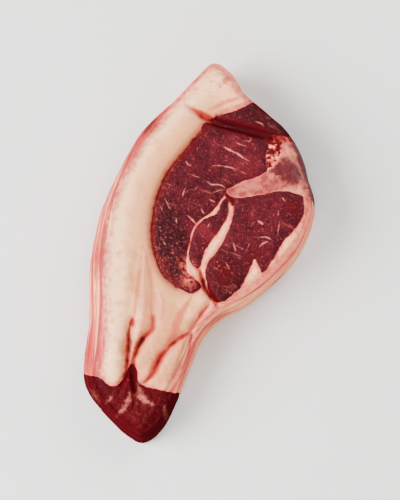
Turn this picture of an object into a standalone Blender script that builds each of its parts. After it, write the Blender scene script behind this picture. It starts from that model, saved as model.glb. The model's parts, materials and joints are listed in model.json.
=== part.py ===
"""A raw lamb loin chop lying on one cut face, with its fat cover, T-shaped bone and muscles.

X runs across the chop, Y from the flank tail up to the backbone end, and Z through the cut.
Outlines are in millimetres on the upper cut face; objects are in metres.
"""

import math

import bmesh
import bpy
import numpy as np

MM = 0.001

# Driving sizes, in millimetres
THICKNESS = 24.0
TAIL_THICKNESS = 17.5
TAIL_STARTS_Y = -18.0
TAIL_ENDS_Y = -70.0
GAP = 0.3
RIM_DROP = 1.3
RIM_WIDTH = 3.0
MUSCLE_CROWN = 0.9
CROWN_WIDTH = 5.0
CREASE_DEPTH = 1.7
CREASE_WIDTH = 2.2
RELIEF_CELL = 2.3
OVERRUN = 8.0
CURVE_STEPS = 3

# Outer outline at its widest, clockwise from the top: x, y and how far the cut face's edge lies inside it
OUTER = [
    (7.8, 71.1, 2.2),
    (13.4, 66.1, 1.8),
    (17.9, 58.8, 1.6),
    (26.3, 51.0, 1.6),
    (34.2, 44.8, 2.6),
    (39.2, 37.0, 4.0),
    (42.0, 27.4, 3.8),
    (43.86, 17.9, 2.8),
    (42.0, 7.8, 2.2),
    (36.4, -2.8, 2.0),
    (27.4, -12.3, 2.0),
    (17.4, -20.2, 2.2),
    (7.8, -25.8, 2.4),
    (1.1, -33.0, 2.4),
    (-3.4, -43.1, 2.4),
    (-8.4, -56.0, 2.8),
    (-14.0, -66.6, 3.4),
    (-21.3, -71.5, 3.8),
    (-29.1, -67.2, 4.0),
    (-37.5, -58.8, 4.0),
    (-43.1, -50.4, 4.8),
    (-43.7, -39.8, 6.4),
    (-42.0, -25.8, 6.2),
    (-42.0, -11.8, 5.8),
    (-41.4, -0.6, 5.2),
    (-38.1, 14.6, 4.4),
    (-31.9, 30.2, 4.0),
    (-23.0, 45.4, 3.0),
    (-11.2, 56.0, 2.0),
    (-2.2, 65.5, 1.8),
    (2.8, 70.6, 2.0),
]

# The side from foot to cut face: height as a part of the local thickness, and the share of the inset there
SIDE_PROFILE = [
    (0.00, 0.22),
    (0.05, 0.06),
    (0.16, 0.00),
    (0.36, 0.10),
    (0.60, 0.34),
    (0.82, 0.68),
    (1.00, 1.00),
    (1.20, 1.25),
]

LOIN_EYE = [
    (2.2, 46.5),
    (7.8, 45.4),
    (15.1, 43.4),
    (22.4, 41.4),
    (25.2, 38.1),
    (24.4, 33.0),
    (24.6, 27.0),
    (19.0, 23.6),
    (14.0, 21.4),
    (9.8, 19.6),
    (7.0, 15.6),
    (4.2, 12.0),
    (0.6, 9.7),
    (-2.4, 6.2),
    (-3.9, 0.6),
    (-5.0, -6.2),
    (-4.5, -10.1),
    (-1.7, -12.6),
    (0.2, -14.6),
    (-0.6, -16.8),
    (-3.4, -18.0),
    (-8.4, -15.1),
    (-13.4, -10.6),
    (-16.0, -4.5),
    (-17.4, 2.8),
    (-17.1, 10.6),
    (-15.1, 19.6),
    (-11.2, 28.0),
    (-5.6, 35.3),
    (-0.6, 41.4),
]

UPPER_MUSCLE = [
    (5.6, 48.4),
    (11.2, 50.1),
    (15.7, 52.1),
    (20.2, 54.3),
    (25.8, 55.4),
    (35.8, 51.0),
    (43.0, 45.0),
    (38.1, 41.4),
    (30.2, 41.9),
    (23.5, 43.4),
    (16.2, 45.4),
    (10.1, 46.9),
]

STRIP_MUSCLE = [
    (10.2, 17.2),
    (10.6, 14.6),
    (10.1, 10.6),
    (7.6, 5.3),
    (3.9, 1.1),
    (1.4, -2.8),
    (0.6, -6.7),
    (-1.1, -8.6),
    (-2.4, -6.2),
    (-2.0, -1.7),
    (-0.9, 2.8),
    (1.1, 6.6),
    (4.5, 9.4),
    (7.6, 12.2),
    (9.2, 15.6),
]

TENDERLOIN = [
    (12.9, 17.4),
    (17.9, 18.8),
    (23.5, 19.8),
    (30.2, 20.9),
    (37.0, 19.4),
    (38.4, 15.1),
    (37.9, 10.6),
    (34.2, 5.0),
    (29.7, 0.0),
    (26.9, -5.0),
    (23.0, -10.4),
    (21.4, -8.0),
    (19.9, -5.4),
    (18.2, -9.0),
    (16.2, -13.4),
    (12.9, -17.9),
    (7.0, -21.4),
    (4.4, -19.3),
    (2.8, -15.1),
    (2.3, -10.6),
    (3.1, -6.2),
    (5.0, -2.8),
    (7.5, 0.6),
    (10.2, 4.6),
    (12.4, 9.6),
    (12.7, 14.0),
]

FLANK_MEAT = [
    (-45.9, -44.2),
    (-40.9, -47.0),
    (-36.4, -48.4),
    (-32.5, -51.2),
    (-29.1, -50.4),
    (-26.9, -46.5),
    (-24.9, -43.1),
    (-23.0, -45.4),
    (-22.1, -49.8),
    (-19.0, -51.8),
    (-14.0, -52.6),
    (-6.7, -54.3),
    (-1.1, -57.7),
    (-7.3, -72.0),
    (-20.2, -79.0),
    (-34.0, -73.0),
    (-46.0, -61.0),
    (-50.0, -51.0),
]

BONE = [
    (9.9, 20.6),
    (15.7, 23.7),
    (20.7, 25.5),
    (24.6, 27.6),
    (28.0, 30.2),
    (30.0, 33.6),
    (30.8, 36.6),
    (33.0, 38.8),
    (42.0, 38.0),
    (48.0, 27.4),
    (48.0, 18.5),
    (43.0, 16.6),
    (38.1, 18.2),
    (32.5, 20.0),
    (26.9, 19.7),
    (21.3, 18.5),
    (15.7, 17.6),
    (11.6, 18.2),
]

# Folds in the cut face, as open lines
CREASES = [
    [(-2.2, 51.0), (1.7, 47.9), (7.8, 46.1), (15.1, 44.4), (22.4, 42.4), (28.0, 41.0)],
    [(-24.1, -27.4), (-23.5, -34.2), (-23.8, -39.8), (-25.2, -44.2), (-26.0, -49.8)],
    [(-23.2, -37.0), (-21.3, -34.4), (-18.8, -32.5), (-16.8, -29.1), (-17.1, -26.9)],
    [(-20.7, -50.4), (-15.1, -41.7), (-11.2, -37.0), (-3.9, -31.4), (0.0, -26.6), (3.9, -21.3)],
]


def smooth_line(controls, steps, closed=True):
    """A Catmull-Rom curve through the control points, of any number of coordinates."""
    points = np.array(controls, float)
    count = len(points)
    spans = count if closed else count - 1
    line = []
    for i in range(spans):
        if closed:
            before, start, end, after = (points[(i + k) % count] for k in (-1, 0, 1, 2))
        else:
            before, start, end, after = (points[min(max(i + k, 0), count - 1)] for k in (-1, 0, 1, 2))
        for step in range(steps):
            t = step / steps
            line.append(
                0.5
                * (
                    2 * start
                    + (end - before) * t
                    + (2 * before - 5 * start + 4 * end - after) * t**2
                    + (3 * start - before - 3 * end + after) * t**3
                )
            )
    if not closed:
        line.append(points[-1])
    return np.array(line)


def outward(line):
    """Unit normals that point out of a closed outline."""
    along = np.roll(line, -1, axis=0) - np.roll(line, 1, axis=0)
    along /= np.linalg.norm(along, axis=1, keepdims=True)
    x, y = line[:, 0], line[:, 1]
    clockwise = np.sum(x * np.roll(y, -1) - y * np.roll(x, -1)) < 0
    normals = np.column_stack([along[:, 1], -along[:, 0]])
    return -normals if clockwise else normals


def grown(line, amount):
    return line + amount * outward(line)


def distance_to(line, places, closed=True):
    """The distance of each place from the line, by its nearest segment."""
    ends = np.roll(line, -1, axis=0) if closed else line[1:]
    starts = line if closed else line[:-1]
    nearest = np.full(len(places), np.inf)
    for start, end in zip(starts, ends):
        run = end - start
        share = np.clip((places - start) @ run / max(run @ run, 1e-12), 0, 1)
        nearest = np.minimum(nearest, np.linalg.norm(places - start - share[:, None] * run, axis=1))
    return nearest


def inside(line, places):
    """Which places lie in a closed outline, by crossings to the right of each."""
    found = np.zeros(len(places), bool)
    for (x0, y0), (x1, y1) in zip(line, np.roll(line, -1, axis=0)):
        if y0 == y1:
            continue
        across = (places[:, 1] < y0) != (places[:, 1] < y1)
        found ^= across & (places[:, 0] < x0 + (places[:, 1] - y0) * (x1 - x0) / (y1 - y0))
    return found


def ease(value):
    """0 to 1 with level ends."""
    value = np.clip(value, 0, 1)
    return value * value * (3 - 2 * value)


def face_edge():
    """The outline of the upper cut face."""
    rim = smooth_line(OUTER, CURVE_STEPS)
    return rim[:, :2] - rim[:, 2:] * outward(rim[:, :2])


def local_thickness(places):
    """Full under the muscles, thinner towards the end of the tail."""
    tail = ease((TAIL_STARTS_Y - places[:, 1]) / (TAIL_STARTS_Y - TAIL_ENDS_Y))
    return THICKNESS - (THICKNESS - TAIL_THICKNESS) * tail


def face_height(places):
    """Height of the upper cut face: dropped at its rim, crowned over the muscles and sunk at the folds."""
    height = local_thickness(places)
    edge = face_edge()
    from_edge = np.where(inside(edge, places), distance_to(edge, places), 0)
    height -= RIM_DROP * (1 - ease(from_edge / RIM_WIDTH))
    for muscle in (LOIN_EYE, TENDERLOIN, UPPER_MUSCLE, FLANK_MEAT):
        line = smooth_line(muscle, CURVE_STEPS)
        depth = np.where(inside(line, places), distance_to(line, places), 0)
        height += MUSCLE_CROWN * (ease(depth / CROWN_WIDTH) - 0.5 * (depth > 0))
    for crease in CREASES:
        away = distance_to(smooth_line(crease, CURVE_STEPS, closed=False), places, closed=False)
        height -= CREASE_DEPTH * np.exp(-((away / CREASE_WIDTH) ** 2))
    return height


def material(name, colour, roughness):
    made = bpy.data.materials.new(name)
    made.use_nodes = True
    shader = made.node_tree.nodes["Principled BSDF"]
    shader.inputs["Base Color"].default_value = (*colour, 1)
    shader.inputs["Roughness"].default_value = roughness
    shader.inputs["Metallic"].default_value = 0
    made.diffuse_color = (*colour, 1)
    return made


def add_object(name, mesh, collection):
    made = bpy.data.objects.new(name, mesh)
    collection.objects.link(made)
    return made


def as_helper(made):
    made.hide_render = True
    made.display_type = "WIRE"
    return made


def outline_solid(name, line, bottom, top, collection):
    """A flat outline filled and extruded between two heights, as a closed mesh."""
    curve = bpy.data.curves.new(name, "CURVE")
    curve.dimensions = "2D"
    curve.fill_mode = "BOTH"
    curve.extrude = (top - bottom) / 2 * MM
    spline = curve.splines.new("POLY")
    spline.points.add(len(line) - 1)
    for point, (x, y) in zip(spline.points, line):
        point.co = (x * MM, y * MM, 0, 1)
    spline.use_cyclic_u = True
    drawn = add_object(name + "_curve", curve, collection)
    mesh = bpy.data.meshes.new_from_object(drawn.evaluated_get(bpy.context.evaluated_depsgraph_get()))
    bpy.data.objects.remove(drawn)
    cage = bmesh.new()
    cage.from_mesh(mesh)
    bmesh.ops.remove_doubles(cage, verts=cage.verts, dist=1e-6)
    bmesh.ops.translate(cage, verts=cage.verts, vec=(0, 0, (top + bottom) / 2 * MM))
    bmesh.ops.recalc_face_normals(cage, faces=cage.faces)
    cage.to_mesh(mesh)
    cage.free()
    mesh.materials.clear()
    return add_object(name, mesh, collection)


def leaning_sides(collection):
    """The whole chop's sides, lofted through rings that follow the side profile, taller than the cut face."""
    rim = smooth_line(OUTER, CURVE_STEPS)
    normals = outward(rim[:, :2])
    cage = bmesh.new()
    rings = []
    for height, share in SIDE_PROFILE:
        ring = rim[:, :2] - share * rim[:, 2:] * normals
        levels = height * local_thickness(ring)
        rings.append([cage.verts.new((x * MM, y * MM, z * MM)) for (x, y), z in zip(ring, levels)])
    for lower, upper in zip(rings, rings[1:]):
        for i in range(len(lower)):
            j = (i + 1) % len(lower)
            cage.faces.new((lower[i], lower[j], upper[j], upper[i]))
    cage.faces.new(rings[0])
    cage.faces.new(rings[-1])
    bmesh.ops.recalc_face_normals(cage, faces=cage.faces)
    mesh = bpy.data.meshes.new("sides")
    cage.to_mesh(mesh)
    cage.free()
    return add_object("sides", mesh, collection)


def relief_block(collection):
    """A block whose top is the cut face's relief, to trim the sides with."""
    rim = np.array(OUTER)[:, :2]
    low = rim.min(axis=0) - RELIEF_CELL
    high = rim.max(axis=0) + RELIEF_CELL
    across, along = np.ceil((high - low) / RELIEF_CELL).astype(int)
    cage = bmesh.new()
    bmesh.ops.create_grid(cage, x_segments=across, y_segments=along, size=0.5)
    places = np.array([vert.co[:2] for vert in cage.verts]) * (high - low) + (low + high) / 2
    for vert, (x, y), z in zip(cage.verts, places, face_height(places)):
        vert.co = (x * MM, y * MM, z * MM)
    grid = cage.faces[:]
    lifted = bmesh.ops.extrude_face_region(cage, geom=grid, use_keep_orig=True)
    for vert in (item for item in lifted["geom"] if isinstance(item, bmesh.types.BMVert)):
        vert.co.z = -OVERRUN * MM
    bmesh.ops.recalc_face_normals(cage, faces=cage.faces)
    mesh = bpy.data.meshes.new("relief")
    cage.to_mesh(mesh)
    cage.free()
    return add_object("relief", mesh, collection)


def cut(made, other, operation):
    """Adds an exact Boolean with another object, or with each object of a list in turn."""
    for cutter in other if isinstance(other, list) else [other]:
        step = made.modifiers.new(operation.title() + " " + cutter.name, "BOOLEAN")
        step.operation = operation
        step.solver = "EXACT"
        step.object = cutter


def whole_chop(collection):
    """The chop before it is parted, with its modifier applied, as every piece is cut from it."""
    sides = leaning_sides(collection)
    cut(sides, relief_block(collection), "INTERSECT")
    mesh = bpy.data.meshes.new_from_object(sides.evaluated_get(bpy.context.evaluated_depsgraph_get()))
    return add_object("whole", mesh, collection)


def piece(name, outline, whole, look, collection, clear_of=()):
    """The stretch of the chop inside one outline, from cut face to cut face."""
    line = smooth_line(outline, CURVE_STEPS)
    made = outline_solid(name, line, -OVERRUN, THICKNESS + OVERRUN, collection)
    cut(made, whole, "INTERSECT")
    cut(made, list(clear_of), "DIFFERENCE")
    made.data.materials.append(look)
    return made


def pocket(name, outline, collection):
    """What a piece takes out of its neighbours: its outline and the gap round it."""
    line = grown(smooth_line(outline, CURVE_STEPS), GAP)
    return outline_solid("pocket_" + name, line, -OVERRUN, THICKNESS + OVERRUN, collection)


def main():
    for made in list(bpy.data.objects):
        bpy.data.objects.remove(made)
    chop = bpy.data.collections.new("loin_chop")
    cutters = bpy.data.collections.new("cutters")
    bpy.context.scene.collection.children.link(chop)
    bpy.context.scene.collection.children.link(cutters)

    lean = material("lamb lean", (0.21, 0.035, 0.04), 0.4)
    darker_lean = material("darker lamb lean", (0.16, 0.022, 0.025), 0.4)
    fat = material("lamb fat", (0.85, 0.69, 0.58), 0.45)
    cut_bone = material("cut bone", (0.55, 0.25, 0.22), 0.5)

    muscles = {
        "loin_eye": (LOIN_EYE, lean),
        "upper_muscle": (UPPER_MUSCLE, darker_lean),
        "strip_muscle": (STRIP_MUSCLE, lean),
        "tenderloin": (TENDERLOIN, lean),
        "flank_meat": (FLANK_MEAT, darker_lean),
    }
    whole = whole_chop(cutters)
    bone_pocket = pocket("bone", BONE, cutters)
    pockets = [bone_pocket]
    piece("bone", BONE, whole, cut_bone, chop)
    for name, (outline, look) in muscles.items():
        piece(name, outline, whole, look, chop, clear_of=[bone_pocket])
        pockets.append(pocket(name, outline, cutters))

    cover = add_object("fat", whole.data.copy(), chop)
    cut(cover, pockets, "DIFFERENCE")
    cover.data.materials.append(fat)

    for helper in cutters.objects:
        as_helper(helper)


main()
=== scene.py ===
import json
import math
from functools import partial

import bpy
import numpy as np
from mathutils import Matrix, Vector, noise

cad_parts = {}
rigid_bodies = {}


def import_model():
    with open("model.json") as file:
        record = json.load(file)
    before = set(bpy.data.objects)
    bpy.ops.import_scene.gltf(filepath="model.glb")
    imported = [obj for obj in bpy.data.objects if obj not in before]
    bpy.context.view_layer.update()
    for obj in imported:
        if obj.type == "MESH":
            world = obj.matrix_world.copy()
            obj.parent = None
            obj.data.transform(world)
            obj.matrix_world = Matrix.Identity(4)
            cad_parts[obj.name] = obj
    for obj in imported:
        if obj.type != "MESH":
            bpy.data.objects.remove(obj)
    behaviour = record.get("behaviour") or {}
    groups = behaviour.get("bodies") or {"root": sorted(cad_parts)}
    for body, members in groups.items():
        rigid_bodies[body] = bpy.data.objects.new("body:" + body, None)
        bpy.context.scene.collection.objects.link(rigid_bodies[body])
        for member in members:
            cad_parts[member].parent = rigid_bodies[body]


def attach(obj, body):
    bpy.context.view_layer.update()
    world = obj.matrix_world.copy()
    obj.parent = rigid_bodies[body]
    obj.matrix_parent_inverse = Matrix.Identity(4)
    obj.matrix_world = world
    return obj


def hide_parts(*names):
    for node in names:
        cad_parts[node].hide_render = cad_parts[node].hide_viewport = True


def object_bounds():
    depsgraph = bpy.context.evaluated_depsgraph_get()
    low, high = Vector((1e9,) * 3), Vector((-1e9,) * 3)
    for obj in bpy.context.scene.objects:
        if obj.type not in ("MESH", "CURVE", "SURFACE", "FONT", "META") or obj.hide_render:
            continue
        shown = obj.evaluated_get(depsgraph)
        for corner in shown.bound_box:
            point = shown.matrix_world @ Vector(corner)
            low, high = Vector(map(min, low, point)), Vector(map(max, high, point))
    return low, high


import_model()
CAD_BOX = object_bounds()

bl_info = {
    "name": "Raw Loin Chop",
    "version": (1, 0, 0),
    "blender": (4, 5, 0),
    "location": "3D View > Sidebar > Loin Chop",
    "description": "Dresses the solids of a raw lamb loin chop in detailed meat, fat and bone",
    "category": "Mesh",
}

MM = 0.001

# The chop's own measures, in millimetres
THICKNESS = 24.0
HIGHEST = round(CAD_BOX[1][2] / MM, 2)
TAIL_THICKNESS = 17.5
TAIL_STARTS_Y = -18.0
TAIL_ENDS_Y = -70.0

# Relief of the upper cut face: how far each form rises or sinks, and how far it reaches
FACE_BELOW_THICKNESS = 0.6
RIM_DROP = 1.3
RIM_WIDTH = 3.0
MUSCLE_SHOULDER = 4.5
FAT_SWELL = 0.25
FAT_SHOULDER = 5.0
COVER_DROP = 0.8
COVER_SLOPE_FAT = 1.9
COVER_SLOPE_LEAN = 10.0
CREST_RISE = 0.9
CREST_RISE_TAIL = 0.7
CREST_WIDTH = 6.0
CREST_WIDTH_TAIL = 1.6
BORDER_DROP = 0.22
BORDER_WIDTH = 0.9
FOLD_DROP = 0.9
FOLD_WIDTH = 2.2
BUNDLE_WIDTH = 1.6
FAT_GRAIN_WIDTH = 1.3
LUMP_WIDTH = 3.0
SOFT_LIMIT = 0.4
SOFT_TOP_BELOW = 0.45
CREST_TAIL_STARTS_Y = -20.0
CREST_TAIL_LENGTH = 12.0
FLANK_STARTS_Y = -40.0

# Waves of the cut face and of the edges between lean and fat: height or share, size and which noise
FACE_WAVES = [(0.26, 13.0, 1), (0.12, 5.0, 2), (0.03, 1.6, 4)]
EDGE_WAVES = [(1.0, 3.4, 0), (0.8, 1.2, 3)]

# The muscles' walls wander more the deeper they lie: how far, in waves of which size, and from which depth
WALL_WANDER = 2.6
WALL_WAVE = 10.0
WALL_WANDER_BELOW = 3.0

# A line's distance is rounded off at its middle, so that no fold has a sharp floor
LINE_SOFTNESS = 0.06
LINE_CORE = 0.1

# The outer side bulges in broad waves and in finer ones drawn out along it, is drawn in a little, and
# keeps its outline at the foot
SIDE_BULGE = 0.3
SIDE_BULGE_WIDTH = 9.0
SIDE_RIPPLE = 0.14
SIDE_RIPPLE_WIDTH = 3.2
SIDE_RIPPLE_STRETCH = 2.2
SIDE_DRAWN_IN = 0.18
FOOT_HEIGHT = 3.0

# A point starts to count as side where its normal's upright part falls under twice this, and is all side
# under it
SIDE_TILT = 0.45

# Radius of the ring that the patterns of the outer side are laid out on
BAND_RADIUS = 60.0

# Distances are found up to these, the longer one for the broad forms of the fat cover
FAR = 8.0
FAR_OF_COVER = 20.0
FAR_OF_COVER_COLOUR = 14.0

# How far a muscle's cutting solid stands out above and below, and how finely walls and sides are divided
OVERRUN = 8.0
SIDE_LEVELS = 48
SIDE_STEP = 0.7
WALL_LEVELS = 16

# Outer outline at its widest, clockwise from the top: x, y and how far the cut face's edge lies inside it
OUTER = [
    (7.8, 71.1, 2.2),
    (13.4, 66.1, 1.8),
    (17.9, 58.8, 1.6),
    (26.3, 51.0, 1.6),
    (34.2, 44.8, 2.6),
    (39.2, 37.0, 4.0),
    (42.0, 27.4, 3.8),
    (43.86, 17.9, 2.8),
    (42.0, 7.8, 2.2),
    (36.4, -2.8, 2.0),
    (27.4, -12.3, 2.0),
    (17.4, -20.2, 2.2),
    (7.8, -25.8, 2.4),
    (1.1, -33.0, 2.4),
    (-3.4, -43.1, 2.4),
    (-8.4, -56.0, 2.8),
    (-14.0, -66.6, 3.4),
    (-21.3, -71.5, 3.8),
    (-29.1, -67.2, 4.0),
    (-37.5, -58.8, 4.0),
    (-43.1, -50.4, 4.8),
    (-43.7, -39.8, 6.4),
    (-42.0, -25.8, 6.2),
    (-42.0, -11.8, 5.8),
    (-41.4, -0.6, 5.2),
    (-38.1, 14.6, 4.4),
    (-31.9, 30.2, 4.0),
    (-23.0, 45.4, 3.0),
    (-11.2, 56.0, 2.0),
    (-2.2, 65.5, 1.8),
    (2.8, 70.6, 2.0),
]

# The side from foot to cut face: height as a part of the local thickness, and the share of the inset there
SIDE_PROFILE = [
    (-0.20, 0.45),
    (0.00, 0.22),
    (0.05, 0.06),
    (0.16, 0.00),
    (0.36, 0.10),
    (0.60, 0.34),
    (0.82, 0.68),
    (1.00, 1.00),
    (1.20, 1.25),
]

# Outlines of the muscles and the bone on the upper cut face: x and y
LOIN_EYE = [
    (2.2, 46.5),
    (7.8, 45.4),
    (15.1, 43.4),
    (22.4, 41.4),
    (25.2, 38.1),
    (24.4, 33.0),
    (24.6, 27.0),
    (19.0, 23.6),
    (14.0, 21.4),
    (9.8, 19.6),
    (7.0, 15.6),
    (4.2, 12.0),
    (0.6, 9.7),
    (-2.4, 6.2),
    (-3.9, 0.6),
    (-5.0, -6.2),
    (-4.5, -10.1),
    (-1.7, -12.6),
    (0.2, -14.6),
    (-0.6, -16.8),
    (-3.4, -18.0),
    (-8.4, -15.1),
    (-13.4, -10.6),
    (-16.0, -4.5),
    (-17.4, 2.8),
    (-17.1, 10.6),
    (-15.1, 19.6),
    (-11.2, 28.0),
    (-5.6, 35.3),
    (-0.6, 41.4),
]

UPPER_MUSCLE = [
    (5.6, 48.4),
    (11.2, 50.1),
    (15.7, 52.1),
    (20.2, 54.3),
    (25.8, 55.4),
    (35.8, 51.0),
    (43.0, 45.0),
    (38.1, 41.0),
    (30.2, 41.2),
    (23.5, 42.5),
    (16.2, 44.4),
    (10.1, 46.3),
]

STRIP_MUSCLE = [
    (10.2, 17.6),
    (10.6, 14.6),
    (10.1, 10.6),
    (7.6, 5.9),
    (4.4, 1.5),
    (1.6, -2.8),
    (0.7, -6.7),
    (-1.1, -8.6),
    (-3.3, -6.6),
    (-4.1, -3.4),
    (-3.7, -0.6),
    (-2.9, 2.6),
    (-1.9, 5.6),
    (-0.1, 8.1),
    (2.3, 10.0),
    (5.0, 11.2),
    (7.1, 13.4),
    (8.1, 16.4),
]

TENDERLOIN = [
    (12.9, 17.4),
    (17.9, 18.8),
    (23.5, 19.8),
    (30.2, 20.9),
    (37.0, 19.4),
    (38.4, 15.1),
    (37.9, 10.6),
    (34.2, 5.0),
    (29.7, 0.0),
    (26.9, -5.0),
    (23.0, -10.4),
    (21.4, -8.0),
    (19.9, -5.4),
    (18.2, -9.0),
    (16.2, -13.4),
    (12.9, -17.9),
    (7.0, -21.4),
    (4.4, -19.3),
    (2.8, -15.1),
    (1.9, -10.6),
    (2.7, -7.0),
    (4.7, -4.2),
    (7.1, -1.0),
    (9.2, 2.8),
    (10.7, 6.2),
    (12.0, 9.8),
    (12.6, 13.6),
]

FLANK_MEAT = [
    (-45.9, -44.2),
    (-40.9, -47.0),
    (-36.4, -48.4),
    (-32.5, -51.2),
    (-29.1, -50.4),
    (-26.9, -46.5),
    (-24.9, -43.1),
    (-23.0, -45.4),
    (-22.1, -49.8),
    (-19.0, -51.8),
    (-14.0, -52.6),
    (-6.7, -54.3),
    (-1.1, -57.7),
    (-7.3, -72.0),
    (-20.2, -79.0),
    (-34.0, -73.0),
    (-46.0, -61.0),
    (-50.0, -51.0),
]

BONE = [
    (9.9, 20.6),
    (15.7, 23.7),
    (20.7, 25.5),
    (24.6, 27.6),
    (28.0, 30.2),
    (30.0, 33.6),
    (30.8, 36.6),
    (33.0, 38.8),
    (42.0, 38.0),
    (48.0, 27.4),
    (48.0, 18.5),
    (43.0, 16.6),
    (38.1, 18.2),
    (32.5, 20.0),
    (26.9, 19.7),
    (21.3, 18.5),
    (15.7, 17.6),
    (11.6, 18.2),
]

# Fat in grains between the loin eye and the bone's upright
GRAINY_FAT = [
    (25.0, 41.5),
    (30.5, 41.2),
    (31.0, 37.0),
    (28.5, 31.0),
    (24.5, 27.0),
    (23.8, 33.0),
    (24.6, 38.0),
]

# The fat cover's inner edge, where it rounds down to the loin eye and is darkened with painted shade
COVER_EDGE = [
    (4.0, 46.6),
    (-0.6, 41.4),
    (-5.6, 35.3),
    (-11.2, 28.0),
    (-15.1, 19.6),
    (-17.1, 10.6),
    (-17.4, 2.8),
    (-16.0, -4.5),
    (-13.4, -10.6),
    (-8.4, -15.1),
]

# The crest of the fat cover, down to the end of its rolled tail; a highlight is painted along it
COVER_CREST = [
    (3.0, 62.0),
    (-6.0, 53.5),
    (-14.5, 45.5),
    (-22.4, 35.0),
    (-28.0, 22.0),
    (-30.4, 8.0),
    (-31.0, -6.0),
    (-31.2, -20.0),
    (-31.0, -34.0),
    (-31.4, -44.0),
]

# Deep folds, as open lines with their half widths; blood and painted shade darken them
CREASES = [
    ([(1.0, 48.6), (8.6, 46.0), (15.6, 43.9), (22.8, 41.8), (30.0, 40.4)], 1.3),
    ([(-24.6, -27.4), (-25.8, -31.0), (-26.0, -37.0), (-26.4, -41.0), (-26.8, -45.5), (-28.8, -50.4)], 0.6),
    ([(-17.0, -29.8), (-18.8, -32.2), (-20.7, -34.2), (-22.3, -37.0), (-23.5, -39.8), (-24.4, -43.1)], 0.75),
    ([(-23.5, -39.8), (-24.4, -43.1), (-24.2, -48.2), (-23.6, -53.0)], 0.7),
    ([(-3.4, -31.8), (-6.7, -33.6), (-9.5, -35.6), (-12.0, -37.8)], 0.5),
    ([(-10.0, -36.0), (-13.4, -39.8), (-15.1, -42.3), (-16.2, -44.8), (-17.4, -47.3), (-20.6, -50.0)], 0.4),
    ([(3.6, -21.4), (1.1, -24.6), (-0.6, -26.9), (-3.4, -31.0)], 0.3),
    ([(-3.2, -32.6), (-3.6, -36.4), (-3.9, -39.8), (-5.2, -44.4)], 0.3),
    ([(0.0, -9.5), (1.1, -13.4), (2.8, -17.4), (6.2, -21.8)], 0.8),
]

# Shallow folds between the lobes of fat
FOLDS = [
    ([(-4.0, 52.0), (-0.6, 50.0), (4.4, 47.5), (8.0, 46.4)], 0.2),
    ([(-22.4, -3.4), (-23.2, -11.8), (-23.8, -20.2), (-24.9, -28.6), (-25.8, -38.0), (-27.0, -47.0)], 0.6),
    ([(-18.5, -6.0), (-17.5, -14.0), (-16.8, -26.3), (-19.5, -33.0), (-23.4, -40.0)], 0.5),
    ([(-4.0, -31.8), (-9.5, -35.6), (-13.4, -39.8), (-16.2, -44.8)], 0.5),
    ([(4.0, -21.0), (-0.6, -26.9), (-3.6, -33.0), (-4.6, -42.0)], 0.5),
]

# Fine vessels and stains in the fat
STAINS = [
    ([(-21.4, -1.0), (-21.5, -6.2), (-22.6, -14.6), (-23.5, -22.4), (-24.2, -29.0)], 0.3),
    ([(-20.2, -1.7), (-18.2, -11.8), (-17.6, -19.0), (-17.6, -26.4)], 0.25),
    ([(-15.7, -14.6), (-13.4, -20.7), (-14.0, -27.4)], 0.1),
    ([(-3.2, -19.4), (-6.4, -24.6), (-8.4, -29.1), (-9.5, -32.5), (-12.4, -36.4)], 1.2),
    ([(-17.9, -24.8), (-17.2, -28.0), (-17.5, -31.2)], 0.9),
    ([(-24.4, -26.4), (-24.4, -31.0)], 0.7),
    ([(-9.0, -35.0), (-13.4, -39.8), (-15.6, -43.0), (-17.0, -46.5), (-20.4, -50.0)], 1.3),
    ([(3.6, 51.0), (9.4, 53.9), (15.0, 55.8)], 0.5),
    ([(6.0, 49.8), (12.0, 51.8), (18.0, 54.4)], 0.4),
    ([(8.6, 62.0), (11.2, 63.2)], 0.9),
    ([(-5.6, 53.0), (-2.6, 50.9), (1.6, 48.6), (5.6, 47.2)], 1.2),
]

# Bright red blood in the fat
REDDENED = [
    ([(-3.4, 51.8), (-0.6, 50.0), (3.0, 48.2), (7.6, 46.6)], 1.2),
    ([(-17.8, -24.6), (-17.2, -27.6), (-17.2, -31.0), (-19.4, -33.0)], 0.55),
    ([(-24.4, -26.0), (-24.2, -31.4)], 0.3),
    ([(-8.4, -34.6), (-13.4, -39.8), (-15.3, -42.6), (-16.6, -46.0), (-20.0, -50.4)], 0.7),
    ([(-3.4, -32.0), (-6.7, -33.6), (-11.0, -37.0)], 0.5),
    ([(-3.2, -32.6), (-3.8, -38.0), (-5.2, -44.4)], 0.35),
]

# Pink lobes of fat in the flank lean
LOBES = [
    ([(-23.6, -48.8), (-22.6, -53.0), (-20.4, -56.2), (-16.8, -58.0)], 1.3),
    ([(-25.4, -53.5), (-26.8, -58.0), (-30.8, -62.6)], 0.7),
    ([(-40.4, -51.6), (-37.0, -56.8)], 0.6),
    ([(-13.0, -58.6), (-12.4, -63.0)], 0.6),
    ([(-32.0, -55.0), (-34.0, -57.4)], 0.4),
]

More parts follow.
